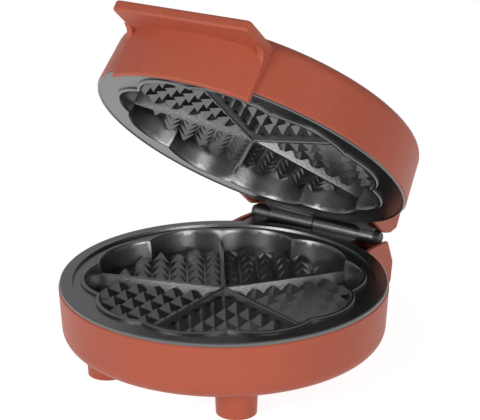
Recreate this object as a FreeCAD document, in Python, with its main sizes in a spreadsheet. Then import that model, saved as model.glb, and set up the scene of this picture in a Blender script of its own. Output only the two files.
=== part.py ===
"""Heart waffle maker: two hinged housings with cast heart plates, built as a parametric document.

Every piece is modelled with the lid closed, and the lid's pieces are then swung open about the hinge.
X runs along the hinge, -Y is the handle side and Z is up. The origin is on the worktop under the base's axis.
"""
import FreeCAD, Part

import math
import os

import Sketcher

from FreeCAD import Placement, Rotation, Vector

PARTS_FOLDER = "parts"
SHEET = "dims"
HEARTS = 5
HEART_ANGLE = 360 / HEARTS
FRONT_DIVIDER_ANGLE = 270
SIDES = (-1, 1)
UP = Vector(0, 0, 1)
ALONG_HINGE = Vector(1, 0, 0)
REARWARD = Vector(0, 1, 0)

# Driving dimensions, in millimetres and degrees
DIMENSIONS = {
    "body_radius": 106.3,
    "base_draft": 1.4,
    "lid_draft": 2.2,
    "shell_wall": 2.6,
    "base_edge_round": 10.0,
    "lid_edge_round": 9.0,
    "rim_bevel": 0.7,
    "foot_height": 19.5,
    "shell_height": 36.2,
    "lid_crown": 3.5,
    "lid_rim_gap": 4.0,
    "lid_height": 37.5,
    "parting_height": 60.0,
    "foot_radius": 13.4,
    "foot_draft": 0.7,
    "foot_offset_x": 50.0,
    "foot_offset_y": 59.5,
    "pad_radius": 9.0,
    "pad_thickness": 2.4,
    "pad_proud": 0.4,
    "seat_clearance": 0.1,
    "plate_radial_gap": 1.9,
    "plate_closed_gap": 3.6,
    "lower_rim_width": 8.0,
    "upper_rim_width": 1.4,
    "plate_rim_depth": 7.2,
    "lower_gutter_depth": 1.7,
    "upper_gutter_depth": 1.2,
    "upper_rim_height": 0.5,
    "flange_room": 0.3,
    "plate_wall": 2.8,
    "cavity_depth": 14.4,
    "cavity_draft": 2.2,
    "lobe_radius": 89.2,
    "lobe_angle": 22.0,
    "divider_cusp_radius": 85.0,
    "notch_cusp_radius": 82.4,
    "lip_width": 2.6,
    "lip_bevel": 0.6,
    "divider_height": 7.4,
    "divider_top": 2.4,
    "divider_foot": 5.8,
    "pyramid_pitch": 12.4,
    "pyramid_groove": 1.0,
    "pyramid_height": 4.9,
    "pyramid_tip": 1.0,
    "post_radius": 4.6,
    "post_height": 12.0,
    "screw_radius": 1.5,
    "screw_head_radius": 3.0,
    "screw_head_height": 2.2,
    "screw_grip": 8.0,
    "screw_clearance": 0.1,
    "hinge_y": 113.0,
    "barrel_radius": 5.6,
    "barrel_half_length": 48.0,
    "outer_knuckle": 11.9,
    "knuckle_gap": 0.4,
    "middle_gap": 1.0,
    "pin_radius": 2.5,
    "pin_bore": 1.7,
    "pin_clearance": 0.05,
    "cap_length": 3.4,
    "lead_radius": 1.6,
    "web_depth": 4.8,
    "tower_half_width": 55.0,
    "tower_reach": 12.7,
    "tower_drop": 22.3,
    "tower_round": 2.0,
    "tower_lean": 1.8,
    "tower_heel": 7.0,
    "cheek_top_gap": 2.0,
    "cheek_rear_reach": 4.0,
    "cheek_rear_gap": 3.0,
    "bump_toe_back": 4.2,
    "bump_toe_gap": 3.0,
    "bump_heel_reach": 3.5,
    "bump_heel_gap": 6.7,
    "bump_rear_reach": 10.5,
    "bump_rear_gap": 14.7,
    "bump_shoulder_gap": 24.0,
    "bump_top_reach": 3.0,
    "bump_top_gap": 33.0,
    "barrel_clearance": 0.9,
    "handle_half_width": 50.0,
    "handle_stand_off": 3.1,
    "handle_skirt_drop": 7.0,
    "handle_seat_gap": 0.15,
    "skirt_clearance": 1.1,
    "flange_reach": 124.5,
    "flange_top": 95.5,
    "flange_thickness": 7.0,
    "flange_corner": 3.5,
    "grip_round": 1.5,
    "gusset_size": 10.0,
    "gusset_thickness": 4.0,
    "heater_ring_radius": 62.0,
    "heater_tube_radius": 3.3,
    "heater_gap_angle": 24.0,
    "reflector_radius": 69.0,
    "reflector_thickness": 0.8,
    "reflector_lip": 6.0,
    "reflector_notch": 40.0,
    "stud_radius": 4.0,
    "nut_radius": 5.0,
    "nut_height": 3.0,
    "thermostat_radius": 8.5,
    "thermostat_height": 9.0,
    "thermostat_offset": 26.0,
    "fuse_radius": 2.4,
    "fuse_length": 22.0,
    "block_length": 30.0,
    "block_width": 12.0,
    "block_height": 11.0,
    "block_centre_y": 104.0,
    "gland_radius": 6.0,
    "gland_flange": 8.5,
    "gland_bore": 3.6,
    "gland_x": 30.0,
    "gland_z": 32.0,
    "lens_radius": 4.0,
    "lens_flange": 5.6,
    "lens_spacing": 14.0,
    "lens_y": -66.0,
    "lens_proud": 0.8,
    "lamp_radius": 3.0,
    "lamp_length": 9.0,
    "handle_screw_x": 30.0,
    "handle_screw_z": 78.0,
    "lid_open_angle": 40.9,
}

doc = FreeCAD.newDocument("heart_waffle_maker")
sheet = doc.addObject("Spreadsheet::Sheet", SHEET)
for row, (alias, value) in enumerate(DIMENSIONS.items(), start=1):
    sheet.set(f"A{row}", alias)
    sheet.set(f"B{row}", str(value))
    sheet.setAlias(f"B{row}", alias)
doc.recompute()


def dim(alias):
    """The number that the sheet holds under this name."""
    return float(sheet.get(alias))


# Heights and radii that several pieces share
base_floor = dim("foot_height")
base_rim = base_floor + dim("shell_height")
parting = dim("parting_height")
lid_rim = parting + dim("lid_rim_gap")
lid_top = lid_rim + dim("lid_height")
plate_radius = dim("body_radius") - dim("shell_wall") - dim("plate_radial_gap")
flange_radius = dim("body_radius") - dim("rim_bevel")
plate_top = parting - dim("plate_closed_gap") / 2
cavity_floor = plate_top - dim("cavity_depth")
plate_underside = cavity_floor - dim("plate_wall")
post_end = plate_underside - dim("post_height")
heater_level = plate_underside - dim("heater_tube_radius")
reflector_level = plate_underside - 2 * dim("heater_tube_radius")
lid_low_radius = dim("body_radius") - dim("lid_draft")
post_places = [(x * dim("foot_offset_x"), y * dim("foot_offset_y")) for x in SIDES for y in SIDES]
hinge_centre = Vector(0, dim("hinge_y"), parting)
cheek_inside = dim("tower_half_width") - dim("shell_wall")

# The same heights as words for the sheet's expressions
FOOT_LEDGE = f"({SHEET}.foot_height / 2)"
PLATE_TOP = f"({SHEET}.parting_height - {SHEET}.plate_closed_gap / 2)"
PLATE_UNDERSIDE = f"({PLATE_TOP} - {SHEET}.cavity_depth - {SHEET}.plate_wall)"
POST_END = f"({PLATE_UNDERSIDE} - {SHEET}.post_height)"
REFLECTOR_LEVEL = f"({PLATE_UNDERSIDE} - 2 * {SHEET}.heater_tube_radius)"
PIN_RECESS = f"({SHEET}.reflector_thickness + {SHEET}.knuckle_gap)"
PIN_HALF = f"({SHEET}.barrel_half_length + {SHEET}.cap_length - {PIN_RECESS})"
CORNERS = [(x, y) for x in SIDES for y in SIDES]

lid_swing = Placement(Vector(), Rotation(ALONG_HINGE, -dim("lid_open_angle")), hinge_centre)
turn_over = Placement(Vector(), Rotation(REARWARD, 180), Vector(0, 0, parting))

nodes = []


def keep(piece):
    """Lists a document object as one of the sub-parts to write."""
    piece.Label = piece.Name
    nodes.append(piece)
    return piece


def bind(piece, **sizes):
    """Ties an object's sizes to cells of the sheet; a name such as Base_x stands for a place."""
    for name, words in sizes.items():
        if name.startswith("Base_"):
            name = "Placement.Base." + name[-1]
        piece.setExpression(name, str(words))
    return piece


def turn_along(piece, direction):
    """Lays a round primitive along a direction."""
    piece.Placement = Placement(Vector(), Rotation(UP, direction))
    return piece


def round_bar(name, radius, height, x=0, y=0, z=0, along=UP):
    """A cylinder bound to the sheet, starting at a place and running along a direction."""
    bar = turn_along(doc.addObject("Part::Cylinder", name), along)
    return bind(bar, Radius=radius, Height=height, Base_x=x, Base_y=y, Base_z=z)


def plain_box(name, length, width, height, x=0, y=0, z=0):
    """A box bound to the sheet, with its lowest corner at a place."""
    block = doc.addObject("Part::Box", name)
    return bind(block, Length=length, Width=width, Height=height, Base_x=x, Base_y=y, Base_z=z)


def joined(name, pieces):
    """Several solids joined into one."""
    whole = doc.addObject("Part::MultiFuse", name)
    whole.Shapes = pieces
    return whole


def hollowed(name, solid, tool):
    """A solid less a tool."""
    rest = doc.addObject("Part::Cut", name)
    rest.Base = solid
    rest.Tool = tool
    return rest


def grouped(name, pieces):
    """Separate solids kept as one sub-part."""
    group = doc.addObject("Part::Compound", name)
    group.Links = pieces
    return group


def add_shape(name, shape, swing=None):
    """A sub-part whose solids are made by Part's own functions, swung open where it belongs to the lid."""
    piece = doc.addObject("Part::Feature", name)
    piece.Shape = shape
    if swing is not None:
        piece.Placement = swing.multiply(piece.Placement)
    return keep(piece)


def polar(radius, angle, height):
    turn = math.radians(angle)
    return Vector(radius * math.cos(turn), radius * math.sin(turn), height)


def revolve(edges):
    """A solid turned about Z from a closed outline in the XZ plane."""
    return Part.Face(Part.Wire(edges)).revolve(Vector(), UP, 360)


def outline(points):
    """A closed outline through the points; one given as (point,) makes an arc of its neighbours."""
    edges = []
    count = len(points)
    for index in range(count):
        here = points[index]
        after = points[(index + 1) % count]
        if isinstance(here, tuple):
            continue
        if isinstance(after, tuple):
            end = points[(index + 2) % count]
            edges.append(Part.Arc(here, after[0], end).toShape())
        else:
            edges.append(Part.LineSegment(here, after).toShape())
    return edges


def extrude_profile(points, x_from, x_to):
    """A solid whose YZ outline is pushed along the hinge direction."""
    wire = Part.makePolygon([Vector(x_from, y, z) for y, z in points + points[:1]])
    return Part.Face(wire).extrude(Vector(x_to - x_from, 0, 0))


# Housing outlines, shared by the base and the lid
def bowl(which, inset=0):
    """The round part of the base or the lid as a solid; inset shrinks it to the inside."""
    lid = which == "lid"
    way = -1 if lid else 1
    rim_height = lid_rim if lid else base_rim
    floor = (lid_top if lid else base_floor) + way * inset
    crown = dim("lid_crown") if lid else 0
    round_size = dim(f"{which}_edge_round") - inset
    low_radius = dim("body_radius") - dim(f"{which}_draft") - inset
    rim_radius = dim("body_radius") - inset
    bevel = 0 if inset else dim("rim_bevel")
    flat_radius = low_radius - round_size
    diagonal = round_size * math.sqrt(0.5)
    shoulder = floor + way * round_size
    points = [Vector(0, 0, floor - way * crown), Vector(flat_radius, 0, floor),
              (Vector(flat_radius + diagonal, 0, shoulder - way * diagonal),),
              Vector(low_radius, 0, shoulder), Vector(rim_radius, 0, rim_height - way * bevel)]
    if lid:
        points.insert(1, (Vector(flat_radius / 2, 0, floor - way * crown * 0.75),))
    if bevel:
        points.append(Vector(rim_radius - bevel, 0, rim_height))
    points.append(Vector(0, 0, rim_height))
    return revolve(outline(points))


def tower_outline(which, inset):
    """Side view of the hinge block behind a housing; inset moves its rear and its floor in."""
    hinge = dim("hinge_y")
    front = dim("foot_offset_y")
    if which == "base":
        rear = hinge + dim("tower_reach") - inset
        floor = base_floor + inset
        return [(front, floor), (rear - dim("tower_heel"), floor),
                (rear - dim("tower_lean"), floor + dim("tower_heel")), (rear, parting - dim("tower_drop")),
                (hinge + dim("cheek_rear_reach") - inset, parting - dim("cheek_rear_gap")),
                (hinge - dim("tower_reach"), parting - dim("cheek_top_gap")),
                (front, parting - dim("cheek_top_gap"))]
    rear = hinge + dim("bump_rear_reach") - inset
    return [(front, parting + dim("bump_toe_gap")),
            (hinge - dim("bump_toe_back"), parting + dim("bump_toe_gap")),
            (hinge + dim("bump_heel_reach") - inset, parting + dim("bump_heel_gap")),
            (rear, parting + dim("bump_rear_gap")),
            (rear - dim("tower_lean"), parting + dim("bump_shoulder_gap") - inset),
            (hinge + dim("bump_top_reach") - inset, parting + dim("bump_top_gap") - inset),
            (front, parting + dim("bump_top_gap") - inset)]


def tower(which, inset=0):
    """The hinge block of the base or the lid as a solid, with its outer edges rounded."""
    half = dim("tower_half_width") - inset
    block = extrude_profile(tower_outline(which, inset), -half, half)
    if inset:
        return block
    behind = dim("hinge_y") + dim("cheek_rear_reach")
    outer_edges = [edge for edge in block.Edges if edge.BoundBox.YMin > behind]
    return block.makeFillet(dim("tower_round"), outer_edges)


def hinge_space():
    """The clear cylinder round the hinge barrel, between the cheeks."""
    radius = dim("barrel_radius") + dim("barrel_clearance")
    start = hinge_centre - ALONG_HINGE * cheek_inside
    return Part.makeCylinder(radius, 2 * cheek_inside, start, ALONG_HINGE)


def housing(which):
    """A hollow housing: bowl and tower, less their insides and the room for the plate and the hinge."""
    wall = dim("shell_wall")
    way = -1 if which == "lid" else 1
    rim_height = lid_rim if which == "lid" else base_rim
    mouth_height = abs(parting - rim_height) + dim("barrel_radius")
    mouth_base = Vector(0, 0, min(rim_height, rim_height + way * mouth_height))
    mouth = Part.makeCylinder(flange_radius + dim("flange_room"), mouth_height, mouth_base, UP)
    low = parting - way * dim("shell_height") / 2
    behind = dim("hinge_y") - wall
    front = dim("foot_offset_y")
    web_room = extrude_profile([(front, low), (behind, low), (behind, parting), (front, parting)],
                               -cheek_inside, cheek_inside)
    outside = bowl(which).fuse(tower(which))
    return outside.cut([bowl(which, wall), tower(which, wall), mouth, web_room, hinge_space()])


# Base housing and its four feet
def base_shell():
    shell = housing("base")
    bosses = [Part.makeCylinder(dim("post_radius"), post_end - base_floor - dim("rim_bevel"),
                                Vector(x, y, base_floor + dim("rim_bevel"))) for x, y in post_places]
    bolt_hole = dim("screw_radius") + dim("screw_clearance")
    cuts = [Part.makeCylinder(bolt_hole, post_end, Vector(x, y, 0)) for x, y in post_places]
    gland_start = Vector(dim("gland_x"), dim("hinge_y"), dim("gland_z"))
    gland_hole = dim("gland_radius") + dim("seat_clearance")
    cuts.append(Part.makeCylinder(gland_hole, 2 * dim("tower_reach"), gland_start, REARWARD))
    return add_shape("base_shell", shell.fuse(bosses).cut(cuts).removeSplitter())


def feet():
    """Four tapered feet against the base's underside, each bored for its pad, screw head and screw."""
    parts = []
    for i, (x, y) in enumerate(CORNERS):
        place = (f"{x} * {SHEET}.foot_offset_x", f"{y} * {SHEET}.foot_offset_y", f"{SHEET}.pad_proud")
        body = doc.addObject("Part::Cone", f"foot_body_{i}")
        bind(body, Radius1=f"{SHEET}.foot_radius - {SHEET}.foot_draft", Radius2=f"{SHEET}.foot_radius",
             Height=f"{SHEET}.foot_height - {SHEET}.pad_proud",
             Base_x=place[0], Base_y=place[1], Base_z=place[2])
        seat = round_bar(f"foot_seat_{i}", f"{SHEET}.pad_radius + {SHEET}.seat_clearance",
                         f"{SHEET}.pad_thickness - {SHEET}.pad_proud", *place)
        well = round_bar(f"foot_well_{i}", f"{SHEET}.screw_head_radius + 8 * {SHEET}.screw_clearance",
                         f"{FOOT_LEDGE} - {SHEET}.pad_proud", *place)
        hole = round_bar(f"foot_hole_{i}", f"{SHEET}.screw_radius + {SHEET}.screw_clearance",
                         f"{SHEET}.foot_height", *place)
        parts.append(hollowed(f"foot_{i}", body, joined(f"foot_bores_{i}", [seat, well, hole])))
    return keep(grouped("feet", parts))


def foot_pads():
    """Four rubber discs let into the feet."""
    pads = [round_bar(f"pad_{i}", f"{SHEET}.pad_radius", f"{SHEET}.pad_thickness",
                      f"{x} * {SHEET}.foot_offset_x", f"{y} * {SHEET}.foot_offset_y")
            for i, (x, y) in enumerate(CORNERS)]
    return keep(grouped("foot_pads", pads))


def base_screws():
    """Four screws up through the feet into the plate's posts."""
    screws = []
    for i, (x, y) in enumerate(CORNERS):
        across = f"{x} * {SHEET}.foot_offset_x"
        back = f"{y} * {SHEET}.foot_offset_y"
        head = round_bar(f"foot_screw_head_{i}", f"{SHEET}.screw_head_radius", f"{SHEET}.screw_head_height",
                         across, back, f"{FOOT_LEDGE} - {SHEET}.screw_head_height")
        shank = round_bar(f"foot_screw_shank_{i}", f"{SHEET}.screw_radius",
                          f"{POST_END} + {SHEET}.screw_grip - {FOOT_LEDGE}", across, back, FOOT_LEDGE)
        screws.append(joined(f"foot_screw_{i}", [head, shank]))
    return keep(grouped("base_screws", screws))


# Cast heart plate
def scallop(offset, height):
    """The ten-lobed outline round the five hearts, grown outwards by offset."""
    edges = []
    for heart in range(HEARTS):
        axis = FRONT_DIVIDER_ANGLE + HEART_ANGLE * (heart + 0.5)
        half = HEART_ANGLE / 2
        left = polar(dim("divider_cusp_radius") + offset, axis - half, height)
        notch = polar(dim("notch_cusp_radius") + offset, axis, height)
        right = polar(dim("divider_cusp_radius") + offset, axis + half, height)
        lobe = dim("lobe_radius") + offset
        swell = dim("lobe_angle")
        edges.append(Part.Arc(left, polar(lobe, axis - half + swell, height), notch).toShape())
        edges.append(Part.Arc(notch, polar(lobe, axis + half - swell, height), right).toShape())
    return Part.Wire(edges)


def loft(wires):
    return Part.makeLoft(wires, True, True)


def divider(angle):
    """One radial wall between two hearts, with its top edges bevelled."""
    bevel = dim("divider_top") * 0.25
    top = cavity_floor + dim("divider_height")
    below = cavity_floor - dim("plate_wall") / 2
    half_foot = dim("divider_foot") / 2
    half_top = dim("divider_top") / 2
    section = [(-half_foot, below), (half_foot, below), (half_foot, cavity_floor), (half_top, top - bevel),
               (half_top - bevel, top), (bevel - half_top, top), (-half_top, top - bevel),
               (-half_foot, cavity_floor)]
    wire = Part.makePolygon([Vector(0, y, z) for y, z in section + section[:1]])
    wall = Part.Face(wire).extrude(Vector(dim("lobe_radius") + dim("lip_width"), 0, 0))
    wall.rotate(Vector(), UP, angle)
    return wall


def pyramid(centre, along, across):
    """A blunt rhombic pyramid whose sides follow the two dividers of its heart."""
    below = dim("plate_wall") / 2
    side = (dim("pyramid_pitch") - dim("pyramid_groove")) / 2
    tip = dim("pyramid_tip") / 2
    slope = (side - tip) / dim("pyramid_height")
    wires = []
    for size, height in ((side + slope * below, -below), (tip, dim("pyramid_height"))):
        corners = [centre + along * (a * size) + across * (b * size) + UP * height
                   for a, b in ((-1, -1), (1, -1), (1, 1), (-1, 1))]
        wires.append(Part.makePolygon(corners + corners[:1]))
    return loft(wires)


def heart_pyramids():
    """The pyramids of all five hearts, on a lattice parallel to each heart's dividers."""
    pitch = dim("pyramid_pitch")
    reach = dim("notch_cusp_radius")
    steps = int(reach / pitch) + 1
    made = []
    for heart in range(HEARTS):
        along = polar(1, FRONT_DIVIDER_ANGLE + HEART_ANGLE * heart, 0)
        across = polar(1, FRONT_DIVIDER_ANGLE + HEART_ANGLE * (heart + 1), 0)
        for i in range(steps):
            for j in range(steps):
                spot = along * ((i + 0.5) * pitch) + across * ((j + 0.5) * pitch)
                if spot.Length < reach:
                    made.append(pyramid(spot + UP * cavity_floor, along, across))
    return made


def knuckle(x_from, x_to, rim_inner, gutter_level):
    """A hinge knuckle with the web that joins it to the plate's rim, under the gutter."""
    start = Vector(x_from, dim("hinge_y"), parting)
    barrel = Part.makeCylinder(dim("barrel_radius"), x_to - x_from, start, ALONG_HINGE)
    web_low = plate_top - dim("web_depth")
    front = dim("foot_offset_y")
    web = Part.makeBox(x_to - x_from, dim("hinge_y") - front, dim("web_depth"),
                       Vector(x_from, front, web_low))
    disc = Part.makeCylinder(rim_inner, dim("web_depth"), Vector(0, 0, gutter_level))
    return barrel.fuse(web.cut(disc))


def plate_blank(which):
    """The plate's turned body: underside, rim and the gutter between the rim and the raised lip."""
    edge = dim("lip_bevel")
    gutter_level = plate_top - dim(f"{which}_gutter_depth")
    rim_top = plate_top if which == "lower" else gutter_level + dim("upper_rim_height")
    rim_inner = flange_radius - dim(f"{which}_rim_width")
    seat = (base_rim if which == "lower" else 2 * parting - lid_rim) + dim("seat_clearance")
    hub_radius = dim("lobe_radius") + dim("lip_width") + edge
    rim_low = plate_top - dim("plate_rim_depth")
    flange_low = gutter_level - dim("plate_wall")
    skirt_inner = plate_radius - dim("plate_wall")
    profile = [(0, plate_underside), (hub_radius, plate_underside), (hub_radius, flange_low),
               (skirt_inner, flange_low), (skirt_inner, rim_low), (plate_radius, rim_low),
               (plate_radius, seat), (flange_radius, seat), (flange_radius, rim_top - edge),
               (flange_radius - edge, rim_top),
               (rim_inner, rim_top), (rim_inner - edge, gutter_level), (0, gutter_level)]
    return revolve(outline([Vector(r, 0, z) for r, z in profile]))


def heart_plate(which):
    """A plate casting in the base's place; the lid's plate is turned over afterwards."""
    edge = dim("lip_bevel")
    gutter_level = plate_top - dim(f"{which}_gutter_depth")
    lip = loft([scallop(dim("lip_width"), gutter_level - edge), scallop(dim("lip_width"), plate_top - edge),
                scallop(dim("lip_width") - edge, plate_top)])
    outer = dim("barrel_half_length")
    inner = outer - dim("outer_knuckle")
    half_gap = dim("knuckle_gap") / 2
    rim_inner = flange_radius - dim(f"{which}_rim_width")
    knuckles = [knuckle(-outer, -inner - half_gap, rim_inner, gutter_level),
                knuckle(dim("middle_gap") / 2, inner - half_gap, rim_inner, gutter_level)]
    posts = [Part.makeCylinder(dim("post_radius"), dim("post_height") + edge, Vector(x, y, post_end))
             for x, y in post_places]
    stud_height = plate_underside - reflector_level + dim("reflector_thickness") + dim("nut_height")
    stud = Part.makeCylinder(dim("screw_radius"), stud_height + edge,
                             Vector(0, 0, plate_underside - stud_height))
    collar = Part.makeCylinder(dim("stud_radius"), plate_underside - reflector_level + edge,
                               Vector(0, 0, reflector_level))
    plate = plate_blank(which).fuse([lip, *knuckles, *posts, stud, collar])
    pin_hole = dim("pin_radius") + dim("pin_clearance")
    bore = Part.makeCylinder(pin_hole, 2 * outer, hinge_centre - ALONG_HINGE * outer, ALONG_HINGE)
    screw_hole = dim("screw_radius") + dim("screw_clearance")
    holes = [Part.makeCylinder(screw_hole, dim("screw_grip") + edge, Vector(x, y, post_end))
             for x, y in post_places]
    return plate.cut([heart_wells(), bore, *holes])


def heart_wells():
    """The space of the five wells: the scalloped hollow less its dividers and pyramids."""
    edge = dim("lip_bevel")
    well = loft([scallop(-dim("cavity_draft"), cavity_floor), scallop(0, plate_top - edge),
                 scallop(edge, plate_top + edge / 2)])
    walls = [divider(FRONT_DIVIDER_ANGLE + HEART_ANGLE * heart) for heart in range(HEARTS)]
    return well.cut(walls + heart_pyramids())


# Heating and control pieces under a plate
def heater():
    """A tubular ring element with its two terminal ends turned down, lying against the plate."""
    start = dim("heater_gap_angle") / 2 + 90
    ring = dim("heater_ring_radius")
    ends = [polar(ring, start, heater_level), polar(ring, start - dim("heater_gap_angle"), heater_level)]
    path = Part.Wire(Part.Arc(ends[0], polar(ring, FRONT_DIVIDER_ANGLE, heater_level), ends[1]).toShape())
    tangent = polar(1, start + 90, 0)
    section = Part.Wire(Part.makeCircle(dim("heater_tube_radius"), ends[0], tangent))
    element = path.makePipeShell([section], True, False)
    pins = []
    for side in SIDES:
        angle = 90 + side * dim("heater_gap_angle") / 2
        end = polar(ring, angle, heater_level)
        inward = polar(1, angle - side * 90, 0)
        pins.append(Part.makeCylinder(dim("screw_radius"), dim("heater_tube_radius") * 2, end, inward))
    return element.fuse(pins)


def reflector(name):
    """A shallow pan of sheet metal that holds the element against the plate, open at the terminals."""
    sheet_metal = f"{SHEET}.reflector_thickness"
    low = f"{REFLECTOR_LEVEL} - {sheet_metal}"
    blank = round_bar(f"{name}_blank", f"{SHEET}.reflector_radius", f"{SHEET}.reflector_lip", z=low)
    hollow = round_bar(f"{name}_hollow", f"{SHEET}.reflector_radius - {sheet_metal}",
                       f"{SHEET}.reflector_lip", z=REFLECTOR_LEVEL)
    hole = round_bar(f"{name}_hole", f"{SHEET}.screw_radius + {SHEET}.screw_clearance", f"4 * {sheet_metal}",
                     z=f"{low} - {sheet_metal}")
    window = round_bar(f"{name}_window", f"{SHEET}.thermostat_radius + {SHEET}.screw_radius",
                       f"4 * {sheet_metal}", y=f"-{SHEET}.thermostat_offset", z=f"{low} - {sheet_metal}")
    notch = plain_box(f"{name}_notch", f"{SHEET}.reflector_notch", f"{SHEET}.reflector_radius",
                      f"4 * {SHEET}.reflector_lip", f"-{SHEET}.reflector_notch / 2",
                      f"{SHEET}.heater_ring_radius - 2 * {SHEET}.nut_radius",
                      f"{low} - {SHEET}.reflector_lip")
    return hollowed(name, blank, joined(f"{name}_cuts", [hollow, hole, window, notch]))


def reflector_nut(name):
    """A hexagon nut under the reflector, on the plate's stud."""
    low = f"{REFLECTOR_LEVEL} - {SHEET}.reflector_thickness - {SHEET}.nut_height"
    body = doc.addObject("Part::Prism", f"{name}_body")
    body.Polygon = 6
    bind(body, Circumradius=f"{SHEET}.nut_radius", Height=f"{SHEET}.nut_height", Base_z=low)
    hole = round_bar(f"{name}_hole", f"{SHEET}.screw_radius + {SHEET}.seat_clearance",
                     f"{SHEET}.nut_height", z=low)
    return hollowed(name, body, hole)


def thermostat():
    """A snap-disc switch against the plate, with two tab terminals."""
    back = f"-{SHEET}.thermostat_offset"
    low = f"{PLATE_UNDERSIDE} - {SHEET}.thermostat_height"
    tab = f"{SHEET}.thermostat_radius / 2"
    can = round_bar("thermostat_can", f"{SHEET}.thermostat_radius", f"{SHEET}.thermostat_height",
                    y=back, z=low)
    cap = round_bar("thermostat_cap", f"{SHEET}.thermostat_radius * 0.8", f"{SHEET}.fuse_radius", y=back,
                    z=f"{low} - {SHEET}.fuse_radius")
    tabs = [plain_box(f"thermostat_tab_{i}", f"{SHEET}.reflector_thickness", tab, tab, f"{side} * {tab}",
                      f"{back} - {tab} / 2", f"{low} - {SHEET}.fuse_radius - {tab}")
            for i, side in enumerate(SIDES)]
    return keep(joined("thermostat", [can, cap, *tabs]))


def thermal_fuse():
    """A sleeved thermal fuse lying on the plate's underside."""
    place = (f"-{SHEET}.fuse_length / 2", f"{SHEET}.thermostat_offset",
             f"{PLATE_UNDERSIDE} - {SHEET}.fuse_radius", ALONG_HINGE)
    return keep(round_bar("thermal_fuse", f"{SHEET}.fuse_radius", f"{SHEET}.fuse_length", *place))


# Terminal block, gland and leads in the base's tower
def terminal_block():
    """A three-way connector block standing on the tower's floor."""
    body = doc.addObject("PartDesign::Body", "terminal_block")
    sketch = body.newObject("Sketcher::SketchObject", "terminal_block_plan")
    plane = next(f for f in body.Origin.OriginFeatures if f.Role == "XY_Plane")
    sketch.AttachmentSupport = [(plane, "")]
    sketch.MapMode = "FlatFace"
    rectangle(sketch, "block_length", "block_width")
    pad = body.newObject("PartDesign::Pad", "terminal_block_pad")
    pad.Profile = sketch
    pad.setExpression("Length", f"{SHEET}.block_height")
    body.setExpression("Placement.Base.y", f"{SHEET}.block_centre_y")
    body.setExpression("Placement.Base.z", f"{SHEET}.foot_height + {SHEET}.shell_wall")
    return keep(body)


def rectangle(sketch, length_alias, width_alias):
    """A centred rectangle whose two sides are bound to cells of the sheet."""
    half_length = dim(length_alias) / 2
    half_width = dim(width_alias) / 2
    corners = [Vector(-half_length, -half_width, 0), Vector(half_length, -half_width, 0),
               Vector(half_length, half_width, 0), Vector(-half_length, half_width, 0)]
    for index in range(4):
        sketch.addGeometry(Part.LineSegment(corners[index], corners[(index + 1) % 4]), False)
    for index in range(4):
        sketch.addConstraint(Sketcher.Constraint("Coincident", index, 2, (index + 1) % 4, 1))
    for index in (0, 2):
        sketch.addConstraint(Sketcher.Constraint("Horizontal", index))
        sketch.addConstraint(Sketcher.Constraint("Vertical", index + 1))
    sketch.addConstraint(Sketcher.Constraint("Symmetric", 0, 1, 1, 2, -1, 1))
    length = sketch.addConstraint(Sketcher.Constraint("Distance", 0, 2 * half_length))
    width = sketch.addConstraint(Sketcher.Constraint("Distance", 1, 2 * half_width))
    sketch.setExpression(f"Constraints[{length}]", f"{SHEET}.{length_alias}")
    sketch.setExpression(f"Constraints[{width}]", f"{SHEET}.{width_alias}")


def cord_gland():
    """A rubber bush through the tower's rear wall, with a flange outside it."""
    lean = f"{SHEET}.tower_lean"
    start = f"{SHEET}.hinge_y + {SHEET}.tower_reach - {SHEET}.shell_wall - 3 * {lean}"
    length = f"{SHEET}.shell_wall + 6 * {lean}"
    seat = f"{SHEET}.hinge_y + {SHEET}.tower_reach + {SHEET}.seat_clearance"
    place = (f"{SHEET}.gland_x", start, f"{SHEET}.gland_z", REARWARD)
    sleeve = round_bar("gland_sleeve", f"{SHEET}.gland_radius", length, *place)
    flange = round_bar("gland_flange_disc", f"{SHEET}.gland_flange", f"2 * {lean}", f"{SHEET}.gland_x", seat,
                       f"{SHEET}.gland_z", REARWARD)
    bore = round_bar("gland_bore_hole", f"{SHEET}.gland_bore", length, *place)
    return keep(hollowed("cord_gland", joined("gland_solid", [sleeve, flange]), bore))


def heater_leads():
    """The two stiff leads from the terminal block's front up to the element's ends."""
    radius = dim("lead_radius")
    leads = []
    for side in SIDES:
        angle = 90 + side * dim("heater_gap_angle") / 3
        below_pin = dim("screw_radius") + radius + dim("seat_clearance")
        end = polar(dim("heater_ring_radius"), angle, heater_level - below_pin)
        start = Vector(-side * dim("block_length") / 4,
                       dim("block_centre_y") - dim("block_width") / 2 - radius / 2,
                       base_floor + dim("shell_wall") + dim("block_height") / 2)
        leads.append(Part.makeCylinder(radius, (end - start).Length, start, end - start))
    return add_shape("heater_leads", Part.Compound(leads))


# Hinge pieces
def hinge_pin():
    """A hollow pin through all four knuckles, long enough for its end caps."""
    place = (f"-{PIN_HALF}", f"{SHEET}.hinge_y", f"{SHEET}.parting_height", ALONG_HINGE)
    rod = round_bar("pin_rod", f"{SHEET}.pin_radius", f"2 * {PIN_HALF}", *place)
    bore = round_bar("pin_bore_hole", f"{SHEET}.pin_bore", f"2 * {PIN_HALF}", *place)
    return keep(hollowed("hinge_pin", rod, bore))


def hinge_lead():
    """The lid's supply lead, run through the hollow pin."""
    return keep(round_bar("hinge_lead", f"{SHEET}.lead_radius", f"2 * {PIN_HALF}", f"-{PIN_HALF}",
                          f"{SHEET}.hinge_y", f"{SHEET}.parting_height", ALONG_HINGE))


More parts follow.
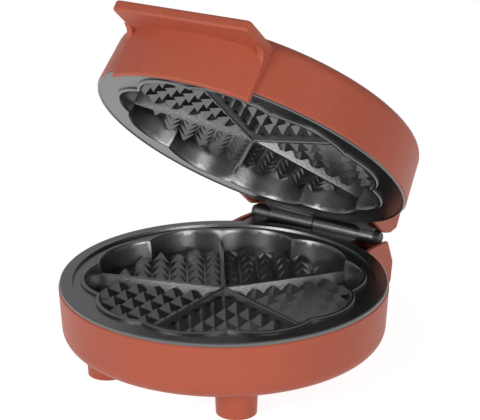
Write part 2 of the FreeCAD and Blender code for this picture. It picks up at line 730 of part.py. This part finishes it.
def pin_caps():
    """Two push-on caps that keep the pin in its knuckles."""
    caps = []
    gap = f"{SHEET}.knuckle_gap / 2"
    length = f"({SHEET}.cap_length - {gap})"
    for i, side in enumerate(SIDES):
        start = f"{side} * ({SHEET}.barrel_half_length + {gap})"
        body = turn_along(doc.addObject("Part::Cone", f"cap_body_{i}"), ALONG_HINGE * side)
        bind(body, Radius1=f"{SHEET}.barrel_radius", Radius2=f"{SHEET}.barrel_radius - 3 * {SHEET}.lip_bevel",
             Height=length, Base_x=start, Base_y=f"{SHEET}.hinge_y", Base_z=f"{SHEET}.parting_height")
        socket = round_bar(f"cap_socket_{i}", f"{SHEET}.pin_radius",
                           f"{length} - {SHEET}.reflector_thickness - {gap}", start, f"{SHEET}.hinge_y",
                           f"{SHEET}.parting_height", ALONG_HINGE * side)
        caps.append(hollowed(f"cap_{i}", body, socket))
    return keep(grouped("pin_caps", caps))


# Lid housing and its handle
def lens_places():
    return [Vector(side * dim("lens_spacing") / 2, dim("lens_y"), 0) for side in SIDES]


def lid_surface(place):
    """Height of the lid's domed top over a place."""
    flat = lid_low_radius - dim("lid_edge_round")
    share = math.hypot(place.x, place.y) / flat
    return lid_top + dim("lid_crown") * (1 - share * share)


def lid_shell():
    shell = housing("lid")
    peg_base = 2 * parting - post_end
    adds = []
    for x, y in post_places:
        adds.append(Part.makeCylinder(dim("post_radius"), lid_top - peg_base, Vector(x, y, peg_base)))
        adds.append(Part.makeCylinder(dim("screw_radius"), dim("screw_grip"),
                                      Vector(x, y, peg_base - dim("screw_grip"))))
    cuts = []
    for place in lens_places():
        lens_hole = dim("lens_radius") + dim("seat_clearance")
        cuts.append(Part.makeCylinder(lens_hole, lid_top, place + UP * parting))
    for side in SIDES:
        cuts.append(handle_screw_hole(side, dim("screw_radius") + dim("screw_clearance")))
    shell = shell.fuse(adds).cut(cuts)
    return add_shape("lid_shell", shell.removeSplitter(), lid_swing)


def handle_screw_line(side):
    """Start point inside the lid's wall and the forward direction of one handle screw."""
    x = side * dim("handle_screw_x")
    wall_radius = dim("body_radius") - dim("shell_wall")
    return Vector(x, -math.sqrt(wall_radius ** 2 - x ** 2), dim("handle_screw_z")), REARWARD * -1


def handle_screw_hole(side, radius):
    start, forward = handle_screw_line(side)
    return Part.makeCylinder(radius, 3 * dim("shell_wall"), start - forward * dim("shell_wall"), forward)


def lid_handle():
    """The grip on the lid's front: a curved face with a skirt below and a straight flange above."""
    half = dim("handle_half_width")
    skirt_low = lid_rim - dim("handle_skirt_drop")
    flange_low = dim("flange_top") - dim("flange_thickness")
    outer = dim("body_radius") + dim("handle_stand_off")
    overlap = dim("lip_bevel")
    face = Part.makeCylinder(outer, flange_low + overlap - skirt_low, Vector(0, 0, skirt_low))
    front = Part.makeBox(2 * half, outer, flange_low + overlap - skirt_low, Vector(-half, -outer, skirt_low))
    face = face.common(front)
    worn_edges = [edge for edge in face.Edges
                  if (edge.BoundBox.ZLength > dim("flange_thickness") and edge.BoundBox.YMax < 0)
                  or (edge.BoundBox.ZMax < skirt_low + overlap and edge.BoundBox.YMin < overlap - outer)]
    face = face.makeFillet(dim("grip_round"), worn_edges)
    flange = Part.makeBox(2 * half - 2 * overlap, dim("flange_reach") - dim("foot_offset_y"),
                          dim("flange_thickness"), Vector(overlap - half, -dim("flange_reach"), flange_low))
    corner_edges = [edge for edge in flange.Edges
                    if abs(edge.BoundBox.ZLength - dim("flange_thickness")) < overlap
                    and edge.BoundBox.YMin < overlap - dim("flange_reach")]
    flange = flange.makeFillet(dim("flange_corner"), corner_edges)
    front_edges = [edge for edge in flange.Edges
                   if edge.BoundBox.ZLength < overlap and edge.BoundBox.YLength < overlap
                   and edge.BoundBox.YMin < overlap - dim("flange_reach")]
    flange = flange.makeFillet(dim("flange_thickness") * 0.25, front_edges)
    grip = face.fuse([flange] + [gusset(side, half, outer, flange_low) for side in SIDES])

    room = bowl("lid", -dim("handle_seat_gap"))
    below_rim = Part.makeCylinder(flange_radius + dim("skirt_clearance"), parting,
                                  Vector(0, 0, lid_rim - parting))
    seat = Part.makeCylinder(dim("body_radius") + dim("handle_seat_gap"), dim("handle_seat_gap"),
                             Vector(0, 0, lid_rim - dim("handle_seat_gap")))
    screw_holes = [handle_screw_hole(side, dim("screw_radius") + dim("seat_clearance")) for side in SIDES]
    grip = grip.cut([room, below_rim, seat, *screw_holes])
    return add_shape("lid_handle", grip.removeSplitter(), lid_swing)


def gusset(side, half, outer, flange_low):
    """A hollow-curved bracket at one end of the grip, under the flange."""
    size = dim("gusset_size")
    thick = dim("gusset_thickness")
    inner_x = half - thick
    root = -math.sqrt(outer ** 2 - half ** 2)
    block = Part.makeBox(thick, 2 * size, size, Vector(inner_x, root - size, flange_low - size))
    hollow = Part.makeCylinder(size, thick, Vector(inner_x, root - size, flange_low - size), ALONG_HINGE)
    bracket = block.cut(hollow)
    if side < 0:
        bracket = bracket.mirror(Vector(), ALONG_HINGE)
    return bracket


def handle_screws():
    screws = []
    for side in SIDES:
        start, forward = handle_screw_line(side)
        seat = start - forward * dim("shell_wall")
        head = Part.makeCylinder(dim("screw_head_radius"), dim("screw_head_height"),
                                 seat - forward * dim("screw_head_height"), forward)
        shank = Part.makeCylinder(dim("screw_radius"), 3 * dim("shell_wall"), seat, forward)
        screws.append(head.fuse(shank))
    return add_shape("handle_screws", Part.Compound(screws), lid_swing)


# Indicator lamps in the lid's top
def lamp_lens(name, place):
    """A clear lens pushed up through the lid's top, with a flange under the skin."""
    surface = lid_surface(place)
    under = surface - dim("shell_wall") - dim("reflector_thickness")
    stem = Part.makeCylinder(dim("lens_radius"), surface + dim("lens_proud") - under, place + UP * under)
    stem = stem.makeFillet(dim("lens_proud") * 0.6, [stem.Edges[0]])
    flange = Part.makeCylinder(dim("lens_flange"), dim("shell_wall"),
                               place + UP * (under - dim("shell_wall")))
    return add_shape(name, stem.fuse(flange), lid_swing)


def indicator_lamps():
    """Two neon lamps standing under the lenses."""
    lamps = []
    for place in lens_places():
        top = lid_surface(place) - 2 * dim("shell_wall") - dim("reflector_thickness")
        foot = place + UP * (top - dim("lamp_length"))
        lamps.append(Part.makeCylinder(dim("lamp_radius"), dim("lamp_length"), foot))
    return add_shape("indicator_lamps", Part.Compound(lamps), lid_swing)


def turned(shape):
    """The same piece turned over into the closed lid."""
    flipped = shape.copy()
    flipped.Placement = turn_over.multiply(flipped.Placement)
    return flipped


base_shell()
feet()
foot_pads()
base_screws()
add_shape("lower_plate", heart_plate("lower"))
add_shape("lower_heater", heater())
keep(reflector("lower_reflector"))
keep(reflector_nut("lower_reflector_nut"))
thermostat()
thermal_fuse()
terminal_block()
cord_gland()
heater_leads()
hinge_pin()
hinge_lead()
pin_caps()
lid_shell()
lid_handle()
handle_screws()
add_shape("upper_plate", turned(heart_plate("upper")), lid_swing)
add_shape("upper_heater", turned(heater()), lid_swing)
for piece in (reflector("upper_reflector"), reflector_nut("upper_reflector_nut")):
    piece.Placement = lid_swing.multiply(turn_over)
    keep(piece)
lens_left, lens_right = lens_places()
lamp_lens("power_lens", lens_left)
lamp_lens("ready_lens", lens_right)
indicator_lamps()

doc.recompute()
for item in doc.Objects:
    if "Invalid" in item.State or "Error" in item.State:
        raise RuntimeError(f"{item.Name} did not compute")
os.makedirs(PARTS_FOLDER, exist_ok=True)
for piece in nodes:
    if piece.Shape.isNull() or not piece.Shape.isValid():
        raise RuntimeError(f"{piece.Label} has no valid shape")
    piece.Shape.exportStep(os.path.join(PARTS_FOLDER, f"{piece.Label}.step"))
    print(piece.Label, len(piece.Shape.Solids), round(piece.Shape.Volume / 1000, 2))
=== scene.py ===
# %% [markdown]
# A heart waffle maker, dressed over its measured frame.
# The frame holds every rigid piece at its true size: two moulded housings, two cast plates, a hinge and the
# parts inside. This script smooths their shading, gives each piece its finish, and sets up a studio.

# %% Load the frame
import math

import bmesh
import bpy
from mathutils import Matrix, Vector

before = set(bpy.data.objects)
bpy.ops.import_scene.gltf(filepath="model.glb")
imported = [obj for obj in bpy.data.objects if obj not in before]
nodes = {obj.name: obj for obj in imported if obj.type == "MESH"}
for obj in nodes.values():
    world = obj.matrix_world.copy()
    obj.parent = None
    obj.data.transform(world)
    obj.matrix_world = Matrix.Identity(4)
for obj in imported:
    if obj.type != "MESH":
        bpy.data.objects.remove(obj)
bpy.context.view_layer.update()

# %% [markdown]
# The camera stands in front of the handle, to its right and a little above the worktop.
# A long lens from about a metre keeps the round housings from bulging. The place comes from matching the
# rims, the feet and the hinge to their real sizes.

# %% Place the camera
IMAGE_WIDTH = 480
FOCAL_PIXELS = 1719.7
SENSOR_WIDTH = 36.0
CAMERA_AZIMUTH = math.radians(34.02)
CAMERA_ELEVATION = math.radians(19.74)
CAMERA_DISTANCE = 1.0931
AIM_ACROSS = 0.01034
AIM_HEIGHT = 0.10371

towards_camera = Vector((math.sin(CAMERA_AZIMUTH) * math.cos(CAMERA_ELEVATION),
                         -math.cos(CAMERA_AZIMUTH) * math.cos(CAMERA_ELEVATION),
                         math.sin(CAMERA_ELEVATION)))
camera_right = Vector((math.cos(CAMERA_AZIMUTH), math.sin(CAMERA_AZIMUTH), 0))
camera_up = towards_camera.cross(camera_right)
aim_point = camera_right * AIM_ACROSS + Vector((0, 0, AIM_HEIGHT))

camera_data = bpy.data.cameras.new("studio_camera")
camera_data.sensor_fit = "HORIZONTAL"
camera_data.sensor_width = SENSOR_WIDTH
camera_data.lens = FOCAL_PIXELS / IMAGE_WIDTH * SENSOR_WIDTH
camera = bpy.data.objects.new("studio_camera", camera_data)
bpy.context.scene.collection.objects.link(camera)
camera_turn = Matrix((camera_right, camera_up, towards_camera)).transposed().to_4x4()
camera.matrix_world = Matrix.Translation(aim_point + towards_camera * CAMERA_DISTANCE) @ camera_turn
bpy.context.scene.camera = camera
bpy.context.scene.view_settings.view_transform = "Standard"
print("lens", round(camera_data.lens, 1), "mm")

# %% [markdown]
# The frame's meshes are loose triangles, so they would look faceted.
# A small geometry node tree joins the triangles and shades them smooth, and keeps an edge hard where its two
# faces meet at a clear angle. It is a modifier, so the measured mesh underneath stays as it is.

# %% Smooth shading for the frame's meshes
JOIN_DISTANCE = 0.00002
HARD_EDGE_ANGLE = math.radians(28)


def build_smooth_tree():
    tree = bpy.data.node_groups.new("join_and_smooth", "GeometryNodeTree")
    tree.interface.new_socket("Geometry", in_out="INPUT", socket_type="NodeSocketGeometry")
    tree.interface.new_socket("Geometry", in_out="OUTPUT", socket_type="NodeSocketGeometry")
    entry = tree.nodes.new("NodeGroupInput")
    join = tree.nodes.new("GeometryNodeMergeByDistance")
    join.inputs["Distance"].default_value = JOIN_DISTANCE
    faces = tree.nodes.new("GeometryNodeSetShadeSmooth")
    angle = tree.nodes.new("GeometryNodeInputMeshEdgeAngle")
    gentle = tree.nodes.new("FunctionNodeCompare")
    gentle.data_type = "FLOAT"
    gentle.operation = "LESS_THAN"
    gentle.inputs["B"].default_value = HARD_EDGE_ANGLE
    edges = tree.nodes.new("GeometryNodeSetShadeSmooth")
    edges.domain = "EDGE"
    leave = tree.nodes.new("NodeGroupOutput")
    tree.links.new(entry.outputs["Geometry"], join.inputs["Geometry"])
    tree.links.new(join.outputs["Geometry"], faces.inputs["Geometry"])
    tree.links.new(angle.outputs["Unsigned Angle"], gentle.inputs["A"])
    tree.links.new(faces.outputs["Geometry"], edges.inputs["Geometry"])
    tree.links.new(gentle.outputs["Result"], edges.inputs["Shade Smooth"])
    tree.links.new(edges.outputs["Geometry"], leave.inputs["Geometry"])
    return tree


smooth_tree = build_smooth_tree()
for node in nodes.values():
    node.modifiers.new("join_and_smooth", "NODES").node_group = smooth_tree
print("smooth shading on", len(nodes), "nodes")

# %% [markdown]
# Moulded plastic and cast metal both carry a fine grain from the tool that shaped them.
# One node group makes that grain for every finish: it puts out a height for a Bump node, a slow drift for the
# colour, and a roughness that wanders around its middle value.

# %% Shared grain group
GRAIN_DEFAULTS = {"Grain Scale": 1500.0, "Drift Scale": 18.0, "Roughness": 0.4, "Spread": 0.06}
GRAIN_DETAIL = 2.0
DRIFT_DETAIL = 4.0
NOISE_MIDDLE = 0.5
DARK_TONE_UP_TO = 0.3
LIGHT_TONE_FROM = 0.7
GRAIN_DEPTH = 0.0003


def build_grain_group():
    group = bpy.data.node_groups.new("tool_grain", "ShaderNodeTree")
    for name, value in GRAIN_DEFAULTS.items():
        socket = group.interface.new_socket(name, in_out="INPUT", socket_type="NodeSocketFloat")
        socket.default_value = value
    for name in ("Height", "Drift", "Roughness"):
        group.interface.new_socket(name, in_out="OUTPUT", socket_type="NodeSocketFloat")
    entry = group.nodes.new("NodeGroupInput")
    leave = group.nodes.new("NodeGroupOutput")
    place = group.nodes.new("ShaderNodeTexCoord")
    grain = group.nodes.new("ShaderNodeTexNoise")
    grain.inputs["Detail"].default_value = GRAIN_DETAIL
    drift = group.nodes.new("ShaderNodeTexNoise")
    drift.inputs["Detail"].default_value = DRIFT_DETAIL
    wander = group.nodes.new("ShaderNodeMath")
    wander.operation = "SUBTRACT"
    wander.inputs[1].default_value = NOISE_MIDDLE
    spread = group.nodes.new("ShaderNodeMath")
    spread.operation = "MULTIPLY_ADD"
    for noise, scale in ((grain, "Grain Scale"), (drift, "Drift Scale")):
        group.links.new(place.outputs["Object"], noise.inputs["Vector"])
        group.links.new(entry.outputs[scale], noise.inputs["Scale"])
    group.links.new(grain.outputs["Fac"], leave.inputs["Height"])
    group.links.new(drift.outputs["Fac"], leave.inputs["Drift"])
    group.links.new(drift.outputs["Fac"], wander.inputs[0])
    group.links.new(wander.outputs[0], spread.inputs[0])
    group.links.new(entry.outputs["Spread"], spread.inputs[1])
    group.links.new(entry.outputs["Roughness"], spread.inputs[2])
    group.links.new(spread.outputs[0], leave.inputs["Roughness"])
    return group


tool_grain = build_grain_group()


def grained_finish(name, dark, light, roughness, grain_scale, bump,
                   spread=GRAIN_DEFAULTS["Spread"], metallic=0.0, **sockets):
    """A finish whose colour drifts between two tones under a fine grain."""
    finish = bpy.data.materials.new(name)
    finish.use_nodes = True
    tree = finish.node_tree
    shader = tree.nodes["Principled BSDF"]
    grain = tree.nodes.new("ShaderNodeGroup")
    grain.node_tree = tool_grain
    grain.inputs["Grain Scale"].default_value = grain_scale
    grain.inputs["Roughness"].default_value = roughness
    grain.inputs["Spread"].default_value = spread
    tone = tree.nodes.new("ShaderNodeValToRGB")
    tone.color_ramp.elements[0].position = DARK_TONE_UP_TO
    tone.color_ramp.elements[1].position = LIGHT_TONE_FROM
    tone.color_ramp.elements[0].color = (*dark, 1)
    tone.color_ramp.elements[1].color = (*light, 1)
    relief = tree.nodes.new("ShaderNodeBump")
    relief.inputs["Strength"].default_value = bump
    relief.inputs["Distance"].default_value = GRAIN_DEPTH
    tree.links.new(grain.outputs["Drift"], tone.inputs["Fac"])
    tree.links.new(tone.outputs["Color"], shader.inputs["Base Color"])
    tree.links.new(grain.outputs["Roughness"], shader.inputs["Roughness"])
    tree.links.new(grain.outputs["Height"], relief.inputs["Height"])
    tree.links.new(relief.outputs["Normal"], shader.inputs["Normal"])
    shader.inputs["Metallic"].default_value = metallic
    for socket, value in sockets.items():
        shader.inputs[socket.replace("_", " ")].default_value = value
    return finish


print("grain group ready with", len(tool_grain.nodes), "shader nodes")

# %% [markdown]
# The housings are a terracotta plastic with a fine satin grain; the plates are cast aluminium under a black
# non-stick coat, which shines like dark metal where a wall turns to the light.

# %% Finishes
CLEAR_SPREAD = 0.02

terracotta = grained_finish("terracotta_plastic", dark=(0.46, 0.098, 0.052), light=(0.50, 0.110, 0.060),
                            roughness=0.44, grain_scale=1000, bump=1.0, Specular_IOR_Level=0.35)
nonstick = grained_finish("black_nonstick", dark=(0.010, 0.010, 0.011), light=(0.016, 0.016, 0.017),
                          roughness=0.26, grain_scale=1500, bump=0.3, IOR=1.75, Specular_IOR_Level=1.0)
black_rubber = grained_finish("black_rubber", dark=(0.020, 0.020, 0.020), light=(0.032, 0.032, 0.032),
                              roughness=0.75, grain_scale=900, bump=0.3)
zinc_steel = grained_finish("zinc_steel", dark=(0.50, 0.50, 0.50), light=(0.58, 0.58, 0.57),
                            roughness=0.32, grain_scale=700, bump=0.1, metallic=1.0)
dull_steel = grained_finish("element_steel", dark=(0.22, 0.20, 0.18), light=(0.33, 0.31, 0.29),
                            roughness=0.5, grain_scale=600, bump=0.2, metallic=1.0)
bright_sheet = grained_finish("reflector_sheet", dark=(0.70, 0.70, 0.71), light=(0.80, 0.80, 0.80),
                              roughness=0.25, grain_scale=400, bump=0.1, metallic=1.0)
pale_plastic = grained_finish("pale_plastic", dark=(0.66, 0.62, 0.54), light=(0.74, 0.71, 0.64),
                              roughness=0.5, grain_scale=900, bump=0.15)
silicone = grained_finish("lead_silicone", dark=(0.60, 0.58, 0.54), light=(0.70, 0.68, 0.64),
                          roughness=0.55, grain_scale=700, bump=0.2)
black_cap = grained_finish("black_cap", dark=(0.012, 0.013, 0.013), light=(0.022, 0.024, 0.023),
                           roughness=0.4, grain_scale=900, bump=0.2)
red_lens = grained_finish("red_lens", dark=(0.42, 0.012, 0.012), light=(0.50, 0.018, 0.016),
                          roughness=0.12, grain_scale=300, bump=0.03, spread=CLEAR_SPREAD)
green_lens = grained_finish("green_lens", dark=(0.012, 0.26, 0.05), light=(0.018, 0.32, 0.06),
                            roughness=0.12, grain_scale=300, bump=0.03, spread=CLEAR_SPREAD)
lamp_glass = grained_finish("lamp_glass", dark=(0.80, 0.62, 0.48), light=(0.86, 0.70, 0.55),
                            roughness=0.08, grain_scale=300, bump=0.03, spread=CLEAR_SPREAD,
                            Transmission_Weight=0.7)

node_finish = {
    "base_shell": terracotta, "feet": terracotta, "lid_shell": terracotta, "lid_handle": terracotta,
    "lower_plate": nonstick, "upper_plate": nonstick,
    "foot_pads": black_rubber, "cord_gland": black_rubber,
    "base_screws": zinc_steel, "handle_screws": zinc_steel, "hinge_pin": zinc_steel,
    "lower_reflector_nut": zinc_steel, "upper_reflector_nut": zinc_steel,
    "lower_heater": dull_steel, "upper_heater": dull_steel,
    "lower_reflector": bright_sheet, "upper_reflector": bright_sheet,
    "thermostat": pale_plastic, "terminal_block": pale_plastic,
    "thermal_fuse": silicone, "heater_leads": silicone, "hinge_lead": silicone,
    "pin_caps": black_cap, "power_lens": red_lens, "ready_lens": green_lens, "indicator_lamps": lamp_glass,
}
for name, node in nodes.items():
    for slot in node.material_slots:
        slot.material = node_finish[name]
print("finishes on", len(node_finish), "nodes")

# %% [markdown]
# The studio is a white floor that runs on as the background, with a soft light on each side of the camera.
# The floor glows a little where the camera or a shiny surface sees it, so it looks white and keeps its
# shadow.
# The room lights the object dimly, and the two lights give the shine on the walls of the wells.

# %% Floor, world and lights
ROOM_LIGHT = 0.2
ROOM_MIRRORED = 0.45
FLOOR_HALF_WIDTH = 6.0
FLOOR_WHITE = (0.92, 0.92, 0.92, 1)
FLOOR_GLOW = 1.77
FLOOR_GLOW_SHARE = 0.5
LIGHT_SIZE = 0.6
LIGHT_AIM = (0, 0, 0.1)
LEFT_LIGHT_PLACE = (-0.28, -1.30, 0.50)
LEFT_LIGHT_POWER = 8.6
RIGHT_LIGHT_PLACE = (1.25, -0.60, 0.34)
RIGHT_LIGHT_POWER = 7.2


def seen_directly(tree):
    """One for a ray from the camera, a mirror or a clear piece, nought for one that gathers soft light."""
    rays = tree.nodes.new("ShaderNodeLightPath")
    mirrored = tree.nodes.new("ShaderNodeMath")
    mirrored.operation = "MAXIMUM"
    seen = tree.nodes.new("ShaderNodeMath")
    seen.operation = "MAXIMUM"
    tree.links.new(rays.outputs["Is Camera Ray"], mirrored.inputs[0])
    tree.links.new(rays.outputs["Is Glossy Ray"], mirrored.inputs[1])
    tree.links.new(mirrored.outputs[0], seen.inputs[0])
    tree.links.new(rays.outputs["Is Transmission Ray"], seen.inputs[1])
    return seen.outputs[0]


def build_floor():
    mesh = bpy.data.meshes.new("studio_floor")
    shape = bmesh.new()
    bmesh.ops.create_grid(shape, x_segments=1, y_segments=1, size=FLOOR_HALF_WIDTH)
    shape.to_mesh(mesh)
    shape.free()
    floor = bpy.data.objects.new("studio_floor", mesh)
    bpy.context.scene.collection.objects.link(floor)
    paint = bpy.data.materials.new("floor_white")
    paint.use_nodes = True
    tree = paint.node_tree
    tree.nodes.clear()
    share = tree.nodes.new("ShaderNodeMath")
    share.operation = "MULTIPLY"
    share.inputs[1].default_value = FLOOR_GLOW_SHARE
    matt = tree.nodes.new("ShaderNodeBsdfDiffuse")
    matt.inputs["Color"].default_value = FLOOR_WHITE
    plain = tree.nodes.new("ShaderNodeEmission")
    plain.inputs["Strength"].default_value = FLOOR_GLOW
    mix = tree.nodes.new("ShaderNodeMixShader")
    out = tree.nodes.new("ShaderNodeOutputMaterial")
    tree.links.new(seen_directly(tree), share.inputs[0])
    tree.links.new(share.outputs[0], mix.inputs[0])
    tree.links.new(matt.outputs[0], mix.inputs[1])
    tree.links.new(plain.outputs[0], mix.inputs[2])
    tree.links.new(mix.outputs[0], out.inputs["Surface"])
    mesh.materials.append(paint)


def soft_light(name, place, power):
    """A square lamp at a place, facing the object."""
    data = bpy.data.lights.new(name, "AREA")
    data.shape = "SQUARE"
    data.size = LIGHT_SIZE
    data.energy = power
    lamp = bpy.data.objects.new(name, data)
    lamp.location = place
    lamp.rotation_euler = (Vector(LIGHT_AIM) - Vector(place)).to_track_quat("-Z", "Y").to_euler()
    bpy.context.scene.collection.objects.link(lamp)


def build_world():
    """A pale room: dim as a light, bright where a shiny surface mirrors it."""
    world = bpy.data.worlds.new("studio_world")
    world.use_nodes = True
    tree = world.node_tree
    room = tree.nodes["Background"]
    room.inputs["Color"].default_value = (1, 1, 1, 1)
    strength = tree.nodes.new("ShaderNodeMapRange")
    strength.inputs["To Min"].default_value = ROOM_LIGHT
    strength.inputs["To Max"].default_value = ROOM_MIRRORED
    tree.links.new(seen_directly(tree), strength.inputs["Value"])
    tree.links.new(strength.outputs["Result"], room.inputs["Strength"])
    bpy.context.scene.world = world


build_floor()
build_world()
soft_light("left_light", LEFT_LIGHT_PLACE, LEFT_LIGHT_POWER)
soft_light("right_light", RIGHT_LIGHT_PLACE, RIGHT_LIGHT_POWER)
print("studio ready")
